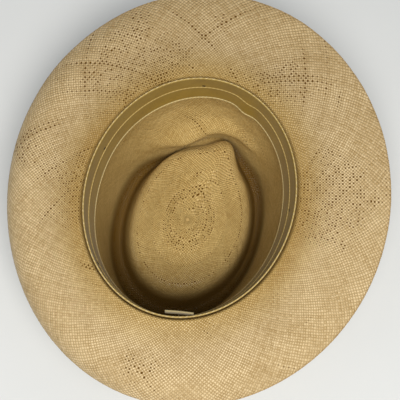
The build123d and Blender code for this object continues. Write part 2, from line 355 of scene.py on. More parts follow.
def creased(turn, radius, height):
    """The radius with the soft folds that fingers have pressed into the front of the crown."""
    for reach, centre, spread, level, tall in CREASES:
        radius -= reach * swell(turn, centre, spread) * hump(height - level, tall)
    return radius


def inside_profile(turn):
    """The inner face from the middle of the crown to the brim's edge, with its small waves."""
    wall = [(wall_radius(turn, height), height) for height in WALL_HEIGHTS]
    profile = smooth_curve(dent_profile(turn) + wall + brim_profile(turn), PROFILE_STEPS)
    foot = oval_radius(turn, DENT_HALF_WIDTH, DENT_HALF_LENGTH)
    moved = []
    for radius, height in profile:
        radius = creased(turn, radius, height) if radius > foot else radius
        wave = noise.noise(place(turn, radius, height) / (WAVE_LENGTH * MM))
        lift = max(0.0, WAVE_HEIGHT * (0.5 + wave) * freedom(turn, radius, height))
        moved.append((radius, height + lift - 0.5 * WAVE_HEIGHT * freedom(turn, radius, height)))
    return moved


def outside_of(profile):
    """The same profile moved out of the hat by the straw's thickness."""
    last = len(profile) - 1
    moved = []
    for index, (radius, height) in enumerate(profile):
        before, after = profile[max(index - 1, 0)], profile[min(index + 1, last)]
        run, rise = after[0] - before[0], after[1] - before[1]
        share = STRAW_THICKNESS / math.hypot(run, rise)
        moved.append((radius + share * rise, height - share * run))
    moved[0] = (POLE_RADIUS, profile[0][1] - STRAW_THICKNESS)
    return moved


turns = round_turns(RING_POINTS)
insides = [inside_profile(turn) for turn in turns]
outsides = [outside_of(profile) for profile in insides]
STATIONS = len(insides[0])
print("profile stations:", STATIONS, "turns:", len(turns))

# %% [markdown]
# ## Counting strands
# Weaving starts with a rosette of a few strands at the middle of the crown, and new strands are laid in,
# ring by ring, as the disc grows. Where strands are added the pattern breaks, which shows as faint rings.
# Each zone below has a number of strands that keeps its cells near 1.3 mm in the crown and 2 mm on the
# brim. The UV map counts strands: u runs round the hat and v out from the middle in the same unit.

# %% Strand zones and the straw's flat map
STRAND_ZONES = (  # the zone's outer radius and its number of strands
    (8, 22), (15, 42), (24, 68), (36, 102), (52, 148), (72, 200), (101, 240), (999, 300),
)


def strands_at(radius):
    """Number of strands in the zone that holds this radius."""
    return next(count for limit, count in STRAND_ZONES if radius < limit)


def mean(values):
    return sum(values) / len(values)


mean_radius = [mean([profile[k][0] for profile in insides]) for k in range(STATIONS)]
zone = [strands_at(radius) for radius in mean_radius]
rows_out = [0.0]
for k in range(1, STATIONS):
    step = mean([math.dist(profile[k - 1], profile[k]) for profile in insides])
    rows_out.append(rows_out[-1] + step * zone[k - 1] / (2 * math.pi * mean_radius[k]))
print("strands from the middle out:", [count for _, count in STRAND_ZONES], "rows:", round(rows_out[-1]))

# %% [markdown]
# ## Stains, painted shade, painted bounce light and lace
# Sweat and hands darken straw where the sweatband presses it, most at the temples. Painted shade darkens the
# groove of the crown, the teardrop's back edge and, a little, the front. Painted bounce light tints the
# inside of the crown yellower. The weave is lacier in some parts of the brim and along the rings where
# strands are laid in. Each of these is one number for each point, which the straw's material reads by name.

# %% Straw mesh: inside, round the edge, and back along the outside
TEMPLE_STAIN_WIDTH = 10.0
TEMPLE_STAIN_PLACE = 4.0
LEAST_STAIN = 0.45
TEMPLE_STAIN = 0.55
# Painted shade: the straw is darkened in the groove, below these heights.
GROOVE_FROM = 18.0
GROOVE_TO = 3.0
# Painted bounce light: how far out over the brim the inside's yellow tint reaches.
INSIDE_FADE = 26.0
LACE_PLACES = (  # turn, spread and strength
    (-42.0, 27.0, 1.0), (14.0, 22.0, 0.85), (76.0, 24.0, 1.15),
    (118.0, 12.0, 0.6), (178.0, 16.0, 0.6), (262.0, 26.0, 0.7),
)
LACE_OUT = 26.0
LACE_REACH = 44.0
# Painted shade: the straw is darkened over the teardrop's back edge and, a little, at the front.
BACK_PAINTED_SHADE = 0.36
FRONT_PAINTED_SHADE = 0.16
FRONT_PAINTED_SHADE_TURN = -8.0
FRONT_PAINTED_SHADE_SPREAD = 55.0
BACK_TURN = 180.0
BACK_SPREAD = 55.0
BACK_FROM = 26.0
BACK_REACH = 34.0
PLAIN_RINGS = (19.5, 30.0, 43.0)
JOIN_WIDTH = 1.3


def stain_at(turn, radius, height):
    """How stained the straw beside the band is, from 0 to 1, most at the temples."""
    out = radius - opening_radius(turn) - TEMPLE_STAIN_PLACE
    near_band = hump(out, TEMPLE_STAIN_WIDTH) if height > HELD_WALL else 0.0
    temples = LEAST_STAIN + TEMPLE_STAIN * swing(turn, 90.0) ** 2
    return clamp(near_band * temples)


def inside_share_at(turn, radius, height):
    """How much painted bounce light yellows the straw: all of it inside the crown, and less and less out
    over the brim.
    """
    out = radius - opening_radius(turn)
    return 1.0 - clamp(out / INSIDE_FADE)


def lace_at(turn, radius, height):
    """Where the weave is lacy: 1 in the loosest parts of the brim, -1 inside the crown."""
    out = radius - opening_radius(turn)
    if out < 0:
        return -1.0
    loosest = max(most * swell(turn, centre, spread) for centre, spread, most in LACE_PLACES)
    return 2.0 * loosest * hump(out - LACE_OUT, LACE_REACH) - 1.0


def painted_shade_at(turn, radius, height):
    """How much painted shade darkens the straw: in the groove, over the teardrop's back edge, and at the
    front.
    """
    if height > HELD_WALL:
        return FRONT_PAINTED_SHADE * swell(turn, FRONT_PAINTED_SHADE_TURN, FRONT_PAINTED_SHADE_SPREAD)
    share = clamp((GROOVE_FROM - height) / (GROOVE_FROM - GROOVE_TO))
    back = BACK_PAINTED_SHADE * swell(turn, BACK_TURN, BACK_SPREAD) * clamp((radius - BACK_FROM) / BACK_REACH)
    return clamp(share * share * (3 - 2 * share) + back * clamp((HELD_WALL - height) / FREEING_LENGTH))


def join_at(radius):
    """1 on the rings where strands are laid in, 0 away from them and outside the crown's top."""
    rings = [limit for limit, _ in STRAND_ZONES if limit < OPENING_HALF_WIDTH] + list(PLAIN_RINGS)
    return max(hump(radius - ring, JOIN_WIDTH) for ring in rings)


def edge_point(inside, outside):
    """The middle of the brim's edge, rounded out by half the straw's thickness."""
    before, end = inside[-2], inside[-1]
    reach = 0.5 * STRAW_THICKNESS / math.dist(before, end)
    return tuple((end[i] + outside[-1][i]) / 2 + reach * (end[i] - before[i]) for i in (0, 1))


edge = [edge_point(inside, outside) for inside, outside in zip(insides, outsides)]
sections = [inside + [tip] + outside[::-1] for inside, tip, outside in zip(insides, edge, outsides)]
ROWS = len(sections[0])


def station_of(row):
    """The profile station that a row of the closed section lies on."""
    return min(row, ROWS - 1 - row, STATIONS - 1)


def strand_map(face_row, row, column):
    """UV in strands: u round the hat, v out from the middle."""
    count = zone[min(station_of(face_row), station_of(face_row + 1))]
    return (count * column / RING_POINTS, rows_out[station_of(row)])


straw = surface(
    "woven_straw",
    [[place(turn, *section[row]) for turn, section in zip(turns, sections)] for row in range(ROWS)],
    strand_map,
    ring=True,
)


def note(name, domain, values):
    """Writes one number for each face or point of the straw, which its material reads by name."""
    straw.data.attributes.new(name, "FLOAT", domain).data.foreach_set("value", values)


spots = [(turn, *section[row]) for row in range(ROWS) for turn, section in zip(turns, sections)]
inner_count = STATIONS * RING_POINTS
outer = [0.0] * (len(spots) - inner_count)
note("strands", "FACE", [
    zone[min(station_of(row), station_of(row + 1))] for row in range(ROWS - 1) for _ in turns
])
# The stain is a real sweat stain; the next two numbers are painted bounce light and painted shade.
for name, measure in (("stain", stain_at), ("inside_share", inside_share_at), ("painted_shade", painted_shade_at)):
    note(name, "POINT", [measure(*spot) for spot in spots[:inner_count]] + outer)
note("lace", "POINT", [lace_at(*spot) for spot in spots])
note("joins", "POINT", [join_at(mean_radius[station_of(row)]) for row in range(ROWS) for _ in turns])
print("straw faces:", len(straw.data.polygons))

# %% [markdown]
# The two small holes at the poles are closed with a fan of triangles, so the straw is one closed shell.

# %% Close the poles
PIP_MIDDLE = (0.5, 0.0)
shape = bmesh.new()
shape.from_mesh(straw.data)
holes = bmesh.ops.holes_fill(shape, edges=[e for e in shape.edges if e.is_boundary], sides=0)
fans = bmesh.ops.poke(shape, faces=holes["faces"])["faces"]
flat_map = shape.loops.layers.uv[CLOTH_MAP]
strand_layer = shape.faces.layers.float["strands"]
for face in fans:
    face[strand_layer] = STRAND_ZONES[0][1]
    for loop in face.loops:
        loop[flat_map].uv = PIP_MIDDLE
shape.to_mesh(straw.data)
shape.free()
used = [0] * len(straw.data.edges)
for loop in straw.data.loops:
    used[loop.edge_index] += 1
print("open edges left:", sum(1 for count in used if count != 2))

# %% [markdown]
# ## Straw material
# Toquilla palm straw is split, bleached and woven by hand in a plain weave that runs on the diagonal. What
# the eye sees is a field of small bright pips, one for each strand that passes over another, in slightly
# different tints from strand to strand. Where a strand was thin, a dotted line of dark holes follows it.
# The pattern is drawn from the UV map, turned by 45 degrees and drifting a little. Each cell is a crossing.

# %% Plain weave on the diagonal
STRAW_LIGHT = "#dcc497"
STRAW_DARK = "#a1834e"
STRAW_GAP = "#644413"
# A painted bounce-light yellow, a real sweat stain and a painted shade brown follow.
STRAW_BOUNCE_YELLOW = "#fbf3bd"
STRAW_STAIN = "#8f681c"
STRAW_PAINTED_SHADE = "#5f4200"
DRIFT = 1.1
DRIFT_LENGTH = 0.011
CELL_HALF = 0.5
ROUND_WIDTH = 0.18
DIP_WIDTH = 0.1
DIP_LEVEL = 0.35


def cell_nodes(tree, spot, count):
    """The cell that holds a spot, looped round the hat, its two numbers, and 1 in every second cell."""
    cell = add(tree, "ShaderNodeVectorMath", {0: spot}, operation="FLOOR")
    looped = add(tree, "ShaderNodeVectorMath",
                 {0: cell, 1: count.outputs["Vector"], 2: (0, 0, 0)}, operation="WRAP")
    total = add(tree, "ShaderNodeVectorMath", {0: cell, 1: (1, 1, 0)}, operation="DOT_PRODUCT")
    second = add(tree, "ShaderNodeMath", {0: total.outputs["Value"], 1: 2.0}, operation="FLOORED_MODULO")
    return looped, add(tree, "ShaderNodeSeparateXYZ", {0: looped}), second


def weave_nodes(tree):
    """The weave's height, a tint for each strand, a grain for each cell, and how near a corner a spot is."""
    strand_uv = add(tree, "ShaderNodeUVMap", uv_map=CLOTH_MAP)
    straight = add(tree, "ShaderNodeMapping", {
        "Vector": strand_uv, "Rotation": (0, 0, math.radians(-45)), "Scale": (math.sqrt(2), math.sqrt(2), 1),
    })
    body = add(tree, "ShaderNodeTexCoord")
    drift = add(tree, "ShaderNodeTexNoise", {
        "Vector": body.outputs["Object"], "Scale": 1 / DRIFT_LENGTH, "Detail": 2.0,
    })
    diagonal = add(tree, "ShaderNodeVectorMath",
                   {0: drift.outputs["Color"], 1: (DRIFT, DRIFT, 0), 2: straight}, operation="MULTIPLY_ADD")
    count = add(tree, "ShaderNodeAttribute", attribute_name="strands")
    looped, ids, on_top = cell_nodes(tree, diagonal, count)
    inside_cell = add(tree, "ShaderNodeVectorMath", {0: diagonal}, operation="FRACTION")
    centred = add(tree, "ShaderNodeVectorMath",
                  {0: inside_cell, 1: (CELL_HALF, CELL_HALF, 0)}, operation="SUBTRACT")
    away = add(tree, "ShaderNodeVectorMath", {0: centred}, operation="ABSOLUTE")
    away_x, away_y, _ = add(tree, "ShaderNodeSeparateXYZ", {0: away}).outputs
    across = add(tree, "ShaderNodeMix", {0: on_top, 2: away_x, 3: away_y})
    along = add(tree, "ShaderNodeMix", {0: on_top, 2: away_y, 3: away_x})
    strand_id = add(tree, "ShaderNodeMix", {0: on_top, 2: ids.outputs[0], 3: ids.outputs[1]})
    seed = add(tree, "ShaderNodeCombineXYZ", {0: strand_id, 1: on_top, 2: count.outputs["Fac"]})
    tint = add(tree, "ShaderNodeTexWhiteNoise", {"Vector": seed}, noise_dimensions="3D")
    round_over = add(tree, "ShaderNodeMapRange",
                     {"Value": across, 1: CELL_HALF, 2: ROUND_WIDTH}, interpolation_type="SMOOTHSTEP")
    dip_under = add(tree, "ShaderNodeMapRange", {"Value": along, 1: CELL_HALF, 2: DIP_WIDTH, 3: DIP_LEVEL},
                    interpolation_type="SMOOTHSTEP")
    height = add(tree, "ShaderNodeMath", {0: round_over, 1: dip_under}, operation="MULTIPLY")
    grain = add(tree, "ShaderNodeTexWhiteNoise", {"Vector": looped}, noise_dimensions="3D")
    corner = add(tree, "ShaderNodeMath", {0: away_x, 1: away_y}, operation="MINIMUM")
    return body, diagonal, count, height, tint, grain, corner


print("weave cell in the crown and on the brim (mm):",
      [round(math.sqrt(0.5) * 2 * math.pi * r / strands_at(r), 2) for r in (60, 140)])

# %% [markdown]
# Holes sit at every second corner of the cells. A random number opens each of them more or less, in the lacy
# patches and along the rings where strands join. Each line between two strands has a random number too, and
# the few loosest lines open along their whole length.

# %% Loose strands and lacy patches
LACE_PATCH = 0.045
LACE_PULL = 0.17
LACY_FROM = 0.42
LACY_FULL = 0.62
LINES_FROM = 0.25
LINES_FULL = 0.5
LOOSE_FROM = 0.945
LOOSE_STEP = 0.02
LINE_OPENING = 0.75
JOIN_OPENING = 1.5
WIDEST_HOLE = 0.06
RIM_INSIDE = -0.03
RIM_OUTSIDE = 0.15
OTHER_WAY = 500.5


def hole_nodes(tree, body, diagonal, count, corner):
    """1 in the dark gaps between loose strands, 0 on the straw."""
    shifted = add(tree, "ShaderNodeVectorMath", {0: diagonal, 1: (CELL_HALF, CELL_HALF, 0)}, operation="ADD")
    looped, ids, every_second = cell_nodes(tree, shifted, count)
    one_way = add(tree, "ShaderNodeTexWhiteNoise", {"W": ids.outputs[0]}, noise_dimensions="1D")
    other = add(tree, "ShaderNodeMath", {0: ids.outputs[1], 1: OTHER_WAY}, operation="ADD")
    other_way = add(tree, "ShaderNodeTexWhiteNoise", {"W": other}, noise_dimensions="1D")
    loosest = add(tree, "ShaderNodeMath", {0: one_way, 1: other_way}, operation="MAXIMUM")
    lace = add(tree, "ShaderNodeTexNoise", {
        "Vector": body.outputs["Object"], "Scale": 1 / LACE_PATCH, "Detail": 2.0,
    })
    places, joins = [add(tree, "ShaderNodeAttribute", attribute_name=name).outputs["Fac"]
                     for name in ("lace", "joins")]
    pulled = add(tree, "ShaderNodeMath", {0: places, 1: LACE_PULL, 2: lace.outputs["Fac"]},
                 operation="MULTIPLY_ADD")
    lacy = add(tree, "ShaderNodeMapRange", {"Value": pulled, 1: LACY_FROM, 2: LACY_FULL})
    chance = add(tree, "ShaderNodeTexWhiteNoise", {"Vector": looped}, noise_dimensions="3D")
    ring = add(tree, "ShaderNodeMath", {0: joins, 1: JOIN_OPENING}, operation="MULTIPLY")
    either = add(tree, "ShaderNodeMath", {0: lacy, 1: ring}, operation="MAXIMUM")
    scattered = add(tree, "ShaderNodeMath", {0: either, 1: chance.outputs["Value"]}, operation="MULTIPLY")
    loose = add(tree, "ShaderNodeMapRange",
                {"Value": loosest, 1: LOOSE_FROM, 2: LOOSE_FROM + LOOSE_STEP, 4: LINE_OPENING})
    lone = add(tree, "ShaderNodeMapRange", {"Value": pulled, 1: LINES_FROM, 2: LINES_FULL})
    lines = add(tree, "ShaderNodeMath", {0: loose, 1: lone}, operation="MULTIPLY")
    opened = add(tree, "ShaderNodeMath", {0: lines, 1: scattered}, operation="ADD")
    size = add(tree, "ShaderNodeMath", {0: opened, 1: every_second}, operation="MULTIPLY")
    threshold = add(tree, "ShaderNodeMapRange", {"Value": size, 3: CELL_HALF, 4: WIDEST_HOLE})
    past = add(tree, "ShaderNodeMath", {0: corner, 1: threshold}, operation="SUBTRACT")
    return add(tree, "ShaderNodeMapRange", {"Value": past, 1: RIM_INSIDE, 2: RIM_OUTSIDE})


print("lacy patches (mm):", LACE_PATCH / MM)

# %% Colour, gloss and relief of the straw
BLOTCH = 0.03
STRAW_RELIEF = 0.0007
# How strong the painted shade gets at most.
PAINTED_SHADE_MOST = 0.96
PIP_LEAST = 0.2
PIP_MOST = 0.8
CELL_GRAIN = 0.28
# How strong the painted bounce-light yellow gets at most.
BOUNCE_YELLOW_MOST = 0.68
INNER_POLISH = 0.12
BLOTCH_SHARE = 0.7
TIGHT_FROM = 0.4
TIGHT_FULL = 0.62
PIP_LEVEL = 0.55
HOLE_SINK = 0.5
SUNK_ROUGHNESS = 0.7
PIP_ROUGHNESS = 0.42
STRAW_SHINE = 0.5


def new_material(name):
    """An empty node material."""
    material = bpy.data.materials.new(name)
    material.use_nodes = True
    material.node_tree.nodes.clear()
    return material


def finish_material(material, **inputs):
    """Adds the surface shader with these inputs, written with _ for spaces, and the output."""
    tree = material.node_tree
    named = {key.replace("_", " "): value for key, value in inputs.items()}
    shader = add(tree, "ShaderNodeBsdfPrincipled", named)
    add(tree, "ShaderNodeOutputMaterial", {"Surface": shader})
    return material


def palm_straw():
    """Bleached palm straw with a light glaze: warm, fairly matt, with a weak sheen from its pips."""
    material = new_material("palm_straw_woven")
    tree = material.node_tree
    body, diagonal, count, height, tint, grain, corner = weave_nodes(tree)
    hole = hole_nodes(tree, body, diagonal, count, corner)
    stain, inside_share, painted_shade = [add(tree, "ShaderNodeAttribute", attribute_name=name).outputs["Fac"]
                         for name in ("stain", "inside_share", "painted_shade")]
    blotch = add(tree, "ShaderNodeTexNoise", {
        "Vector": body.outputs["Object"], "Scale": 1 / BLOTCH, "Detail": 4.0, "Roughness": 0.6,
    })
    tone = add(tree, "ShaderNodeMix", {0: BLOTCH_SHARE, 2: tint.outputs["Value"], 3: blotch.outputs["Fac"]})
    tight = add(tree, "ShaderNodeMapRange",
                {"Value": blotch, 1: TIGHT_FROM, 2: TIGHT_FULL, 3: PIP_LEAST, 4: PIP_MOST})
    lifted = add(tree, "ShaderNodeMath", {0: height, 1: PIP_LEVEL}, operation="SUBTRACT")
    lit = add(tree, "ShaderNodeMath", {0: lifted, 1: tight, 2: tone}, operation="MULTIPLY_ADD")
    speck = add(tree, "ShaderNodeMath", {0: grain.outputs["Value"], 1: 0.5}, operation="SUBTRACT")
    shade = add(tree, "ShaderNodeMath", {0: speck, 1: CELL_GRAIN, 2: lit}, operation="MULTIPLY_ADD")
    colour = add(tree, "ShaderNodeMix", {0: shade, 6: linear(STRAW_DARK), 7: linear(STRAW_LIGHT)},
                 data_type="RGBA")
    # The straw is tinted yellower inside by painted bounce light, stained, and darkened by painted shade.
    bounce_yellow_share = add(tree, "ShaderNodeMath", {0: inside_share, 1: BOUNCE_YELLOW_MOST}, operation="MULTIPLY")
    stain_share = add(tree, "ShaderNodeMath", {0: stain, 1: blotch.outputs["Fac"]}, operation="MULTIPLY")
    painted_shade_share = add(tree, "ShaderNodeMath", {0: painted_shade, 1: PAINTED_SHADE_MOST}, operation="MULTIPLY")
    layers = (
        (bounce_yellow_share, STRAW_BOUNCE_YELLOW, "MULTIPLY"), (stain_share, STRAW_STAIN, "MIX"),
        (painted_shade_share, STRAW_PAINTED_SHADE, "MIX"), (hole, STRAW_GAP, "MIX"),
    )
    for share, layer, blend in layers:
        colour = add(tree, "ShaderNodeMix", {0: share, 6: colour.outputs[2], 7: linear(layer)},
                     data_type="RGBA", blend_type=blend)
    sunk = add(tree, "ShaderNodeMath", {0: hole, 1: HOLE_SINK}, operation="MULTIPLY")
    relief = add(tree, "ShaderNodeMath", {0: height, 1: sunk}, operation="SUBTRACT")
    bump = add(tree, "ShaderNodeBump", {"Strength": 0.8, "Distance": STRAW_RELIEF, "Height": relief})
    matt = add(tree, "ShaderNodeMapRange", {"Value": height, 3: SUNK_ROUGHNESS, 4: PIP_ROUGHNESS})
    gloss = add(tree, "ShaderNodeMath", {0: inside_share, 1: -INNER_POLISH, 2: matt}, operation="MULTIPLY_ADD")
    shine = add(tree, "ShaderNodeMapRange", {"Value": hole, 3: STRAW_SHINE, 4: 0.0})
    return finish_material(
        material, Base_Color=colour.outputs[2], Roughness=gloss, IOR=1.5,
        Specular_IOR_Level=shine, Normal=bump,
    )


STRAW = palm_straw()
tidy(straw, STRAW)
print("straw triangles:", triangles(straw))

# %% Put the straw on the frame
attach(straw, "hat")
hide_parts("straw_body")
print("woven straw rides on the hat")

# %% [markdown]
# ## Things that repeat along a line
# The brim's edge is finished by turning the strand ends back and weaving them in, which leaves a row of
# small slanted loops. Sewing leaves short stitches. Both are one small bead, repeated along a path, so one
# Geometry Nodes tree lays them: it takes the path, the count, the bead's size and slant, a little unevenness
# and the material, and ends in plain geometry.

# %% A tree that lays beads along a path
BEAD_SIDES = 6
BEAD_RINGS = 4


def bead_tree():
    """The tree that makes beads: points along the path, a bead on each, turned, sized and made plain."""
    tree = bpy.data.node_groups.new("beads_along_path", "GeometryNodeTree")
    sockets = (
        ("Path", "NodeSocketGeometry"), ("Count", "NodeSocketInt"), ("Size", "NodeSocketVector"),
        ("Slant", "NodeSocketVector"), ("Smallest", "NodeSocketFloat"), ("Seed", "NodeSocketInt"),
        ("Finish", "NodeSocketMaterial"),
    )
    for name, kind in sockets:
        tree.interface.new_socket(name, in_out="INPUT", socket_type=kind)
    tree.interface.new_socket("Beads", in_out="OUTPUT", socket_type="NodeSocketGeometry")
    given = add(tree, "NodeGroupInput").outputs
    points = add(tree, "GeometryNodeCurveToPoints", {"Curve": given["Path"], "Count": given["Count"]},
                 mode="COUNT")
    bead = add(tree, "GeometryNodeMeshUVSphere", {"Segments": BEAD_SIDES, "Rings": BEAD_RINGS})
    uneven = add(tree, "FunctionNodeRandomValue", {2: given["Smallest"], 3: 1.0, "Seed": given["Seed"]},
                 data_type="FLOAT")
    sized = add(tree, "ShaderNodeVectorMath", {0: given["Size"], "Scale": uneven.outputs[1]},
                operation="SCALE")
    laid = add(tree, "GeometryNodeInstanceOnPoints", {
        "Points": points, "Instance": bead, "Rotation": points.outputs["Rotation"], "Scale": sized,
    })
    slanted = add(tree, "GeometryNodeRotateInstances", {"Instances": laid, "Rotation": given["Slant"]})
    plain = add(tree, "GeometryNodeRealizeInstances", {"Geometry": slanted})
    smooth = add(tree, "GeometryNodeSetShadeSmooth", {"Geometry": plain})
    finished = add(tree, "GeometryNodeSetMaterial", {"Geometry": smooth, "Material": given["Finish"]})
    add(tree, "NodeGroupOutput", {"Beads": finished})
    return tree


BEADS = bead_tree()


def beads(name, points, closed, **values):
    """Beads laid along a path of points, as a plain mesh."""
    curve = bpy.data.curves.new(name, "CURVE")
    curve.dimensions = "3D"
    spline = curve.splines.new("POLY")
    spline.points.add(len(points) - 1)
    spline.points.foreach_set("co", [value for point in points for value in (*point, 1.0)])
    spline.use_cyclic_u = closed
    piece = new_object(name, curve)
    modifier = piece.modifiers.new("beads", "NODES")
    modifier.node_group = BEADS
    for socket in BEADS.interface.items_tree:
        if socket.name in values:
            modifier[socket.identifier] = values[socket.name]
    return bake_modifiers(piece)


print("bead tree inputs:", [s.name for s in BEADS.interface.items_tree if s.in_out == "INPUT"])

# %% [markdown]
# ## The brim's braided edge
# The loops are the same straw, in a darker tone.

# %% Straw loops round the brim
LOOP_SIZE = (0.62, 0.45, 1.5)
LOOP_COUNT = 600
LOOP_SLANT = 24
STREAK_FROM = 0.3
STREAK_FULL = 0.7


def streaked(name, light, dark, streak, roughness, relief):
    """A thread or straw finish: two tones in fine streaks, with the same streaks as relief."""
    material = new_material(name)
    tree = material.node_tree
    body = add(tree, "ShaderNodeTexCoord")
    fibres = add(tree, "ShaderNodeTexNoise", {
        "Vector": body.outputs["Object"], "Scale": 1 / streak, "Detail": 3.0, "Roughness": 0.7,
    })
    tone = add(tree, "ShaderNodeMapRange", {"Value": fibres, 1: STREAK_FROM, 2: STREAK_FULL})
    colour = add(tree, "ShaderNodeMix", {0: tone, 6: linear(dark), 7: linear(light)}, data_type="RGBA")
    bump = add(tree, "ShaderNodeBump", {"Strength": 0.5, "Distance": relief, "Height": fibres})
    return finish_material(
        material, Base_Color=colour.outputs[2], Roughness=roughness, Specular_IOR_Level=0.3, Normal=bump,
    )


EDGE_STRAW = streaked("palm_straw_braid", "#c2a572", "#8a6c3d", 0.0015, 0.6, 0.0003)
edge_line = [place(turn, *tip) for turn, tip in zip(turns, edge)]
braid = beads(
    "brim_edge_braid", edge_line, True, Count=LOOP_COUNT, Size=[v * MM for v in LOOP_SIZE],
    Slant=(math.radians(LOOP_SLANT), 0, 0), Smallest=0.8, Seed=3, Finish=EDGE_STRAW,
)
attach(braid, "hat")
print("edge loops:", LOOP_COUNT, "triangles:", triangles(braid))

# %% [markdown]
# ## Sweatband
# A woven cotton band keeps sweat off the straw. It is sewn on along its upper edge, over a thin reed, and
# its free lower edge is bound and stands a little way off the wall. It has a rolled lip at the top, a
# smooth upper facet and a lower one, with a raised cord between them. It kinks at the front, where the
# pinch presses it. It is drawn as a sheet that hangs from the reed and is then given its thickness.

# %% How the band stands off the wall
LINING_GAP = 0.4
BAND_THICKNESS = 0.8
BAND_TOP = CROWN_DEPTH - 2.6
BAND_BOTTOM = CROWN_DEPTH - 35.0
STAND_OFF = 1.2
STAND_OFF_CHANGE = 0.9
STAND_OFF_CURVE = 1.6
KINK_TURN = 13.0
KINK_SPREAD = 4.5
KINK_DEPTH = 2.6
LIP_SIZE = 0.75
LIP_DROP = 0.7
LIP_SPREAD = 0.6
BAND_TURNS = 240
BAND_ROWS = 26
ROW_CURVE = 1.15


def band_offset(turn, height):
    """Distance of the band's middle from the wall, in towards the head."""
    hang = clamp((BAND_TOP - height) / (BAND_TOP - BAND_BOTTOM))
    uneven = noise.noise(place(turn, OPENING_HALF_WIDTH, height) / (2 * WAVE_LENGTH * MM))
    stand = STAND_OFF + STAND_OFF_CHANGE * uneven + KINK_DEPTH * swell(turn, KINK_TURN, KINK_SPREAD)
    lip = LIP_SIZE * hump(BAND_TOP - LIP_DROP - height, LIP_SPREAD)
    return LINING_GAP + BAND_THICKNESS / 2 + stand * hang ** STAND_OFF_CURVE + lip


def distance_round(height):
    """Length of the wall round the hat at this height."""
    points = [place(turn, wall_radius(turn, height), height) for turn in round_turns(BAND_TURNS)]
    return sum((a - b).length for a, b in zip(points, points[1:] + points[:1])) / MM


BAND_LENGTH = distance_round(CROWN_DEPTH - 18.0)
print("band length (mm):", round(BAND_LENGTH))

# %% Sweatband cloth
COTTON_RIB = 1.5
WAVE_UNIT = math.pi / 10
WEAR_PATCH = 0.018
WEAR_SHARE = 0.6
THREADS = 2.2


def ribbed_cloth(name, light, dark, rib, direction, roughness, relief, shine):
    """Ribbed cloth: ribs of the given width in millimetres, worn lighter on their crowns.

    A wave texture repeats every WAVE_UNIT of its coordinate at scale 1, so the scale follows from the rib.
    """
    material = new_material(name)
    tree = material.node_tree
    cloth = add(tree, "ShaderNodeUVMap", uv_map=CLOTH_MAP)
    ribs = add(tree, "ShaderNodeTexWave", {
        "Vector": cloth, "Scale": WAVE_UNIT / rib, "Distortion": 0.25, "Detail": 1.0,
    }, bands_direction=direction)
    body = add(tree, "ShaderNodeTexCoord")
    wear = add(tree, "ShaderNodeTexNoise", {
        "Vector": body.outputs["Object"], "Scale": 1 / WEAR_PATCH, "Detail": 4.0, "Roughness": 0.65,
    })
    tone = add(tree, "ShaderNodeMix", {0: WEAR_SHARE, 2: ribs.outputs["Fac"], 3: wear.outputs["Fac"]})
    colour = add(tree, "ShaderNodeMix", {0: tone, 6: linear(dark), 7: linear(light)}, data_type="RGBA")
    thread = add(tree, "ShaderNodeTexNoise", {"Vector": cloth, "Scale": THREADS, "Detail": 2.0})
    height = add(tree, "ShaderNodeMath", {0: thread, 1: 0.5, 2: ribs.outputs["Fac"]},
                 operation="MULTIPLY_ADD")
    bump = add(tree, "ShaderNodeBump", {"Strength": 0.6, "Distance": relief, "Height": height})
    return finish_material(
        material, Base_Color=colour.outputs[2], Roughness=roughness, Specular_IOR_Level=0.25,
        Sheen_Weight=shine, Sheen_Roughness=0.4, Normal=bump,
    )


COTTON = ribbed_cloth("cotton_band_ribbed", "#a58834", "#6f5309", COTTON_RIB, "Y", 0.8, 0.0002, 0.15)
band_heights = [BAND_TOP + (BAND_BOTTOM - BAND_TOP) * (row / BAND_ROWS) ** ROW_CURVE
                for row in range(BAND_ROWS + 1)]
band = surface(
    "sweatband_cloth",
    [[place(turn, wall_radius(turn, height) - band_offset(turn, height), height)
      for turn in round_turns(BAND_TURNS)] for height in band_heights],
    lambda face_row, row, column: (BAND_LENGTH * column / BAND_TURNS, BAND_TOP - band_heights[row]),
    ring=True,
)
band = tidy(thicken(band, BAND_THICKNESS), COTTON)
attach(band, "hat")
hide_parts("sweatband")
print("band triangles:", triangles(band))

# %% [markdown]
# ## Cords round the opening
# Three pale cords follow the wall: the reed along the sewn edge, the ridge cord half way down, and the
# binding of the free edge. Each is a thin tube whose middle follows a formula, and its material twists
# the threads round it by reading the tube's own UV map.

# %% Tubes that follow the wall
CORD_SIDES = 10
CORD_TURNS = 300


def cord_round(name, spine, wide, tall, material):
    """A closed tube round the hat. spine(turn) gives the radius and height of its middle."""
    rows = []
    for turn in round_turns(CORD_TURNS):
        radius, height = spine(turn)
        rows.append([
            place(turn, radius + wide / 2 * swing(360 * side / CORD_SIDES, 0),
                  height + tall / 2 * swing(360 * side / CORD_SIDES, 90))
            for side in range(CORD_SIDES)
        ])
    girth = math.pi * (wide + tall) / 2
    piece = surface(
        name, rows,
        lambda face_row, row, column: (BAND_LENGTH * row / CORD_TURNS, girth * column / CORD_SIDES),
        ring=True, tube=True,
    )
    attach(tidy(piece, material), "hat")
    return piece


CORD_THREAD = ribbed_cloth("cotton_cord_tan", "#cbb375", "#937a40", 1.6, "DIAGONAL", 0.75, 0.0002, 0.1)
BINDING_THREAD = ribbed_cloth("cotton_binding_pale", "#e2d19c", "#b89f60", 1.6, "DIAGONAL", 0.6, 0.0002, 0.1)
REED_SIZE = 1.3
REED_IN = 1.45
REED_GAP = 0.1
REED_HEIGHT = BAND_TOP + REED_GAP + REED_SIZE / 2
RIDGE_SIZE = 0.9
RIDGE_HEIGHT = CROWN_DEPTH - 18.5
RIDGE_SLIP = 1.5
RIDGE_PROUD = 0.2
BINDING_WIDE = 1.3
BINDING_TALL = 2.3
BINDING_DROP = 0.3


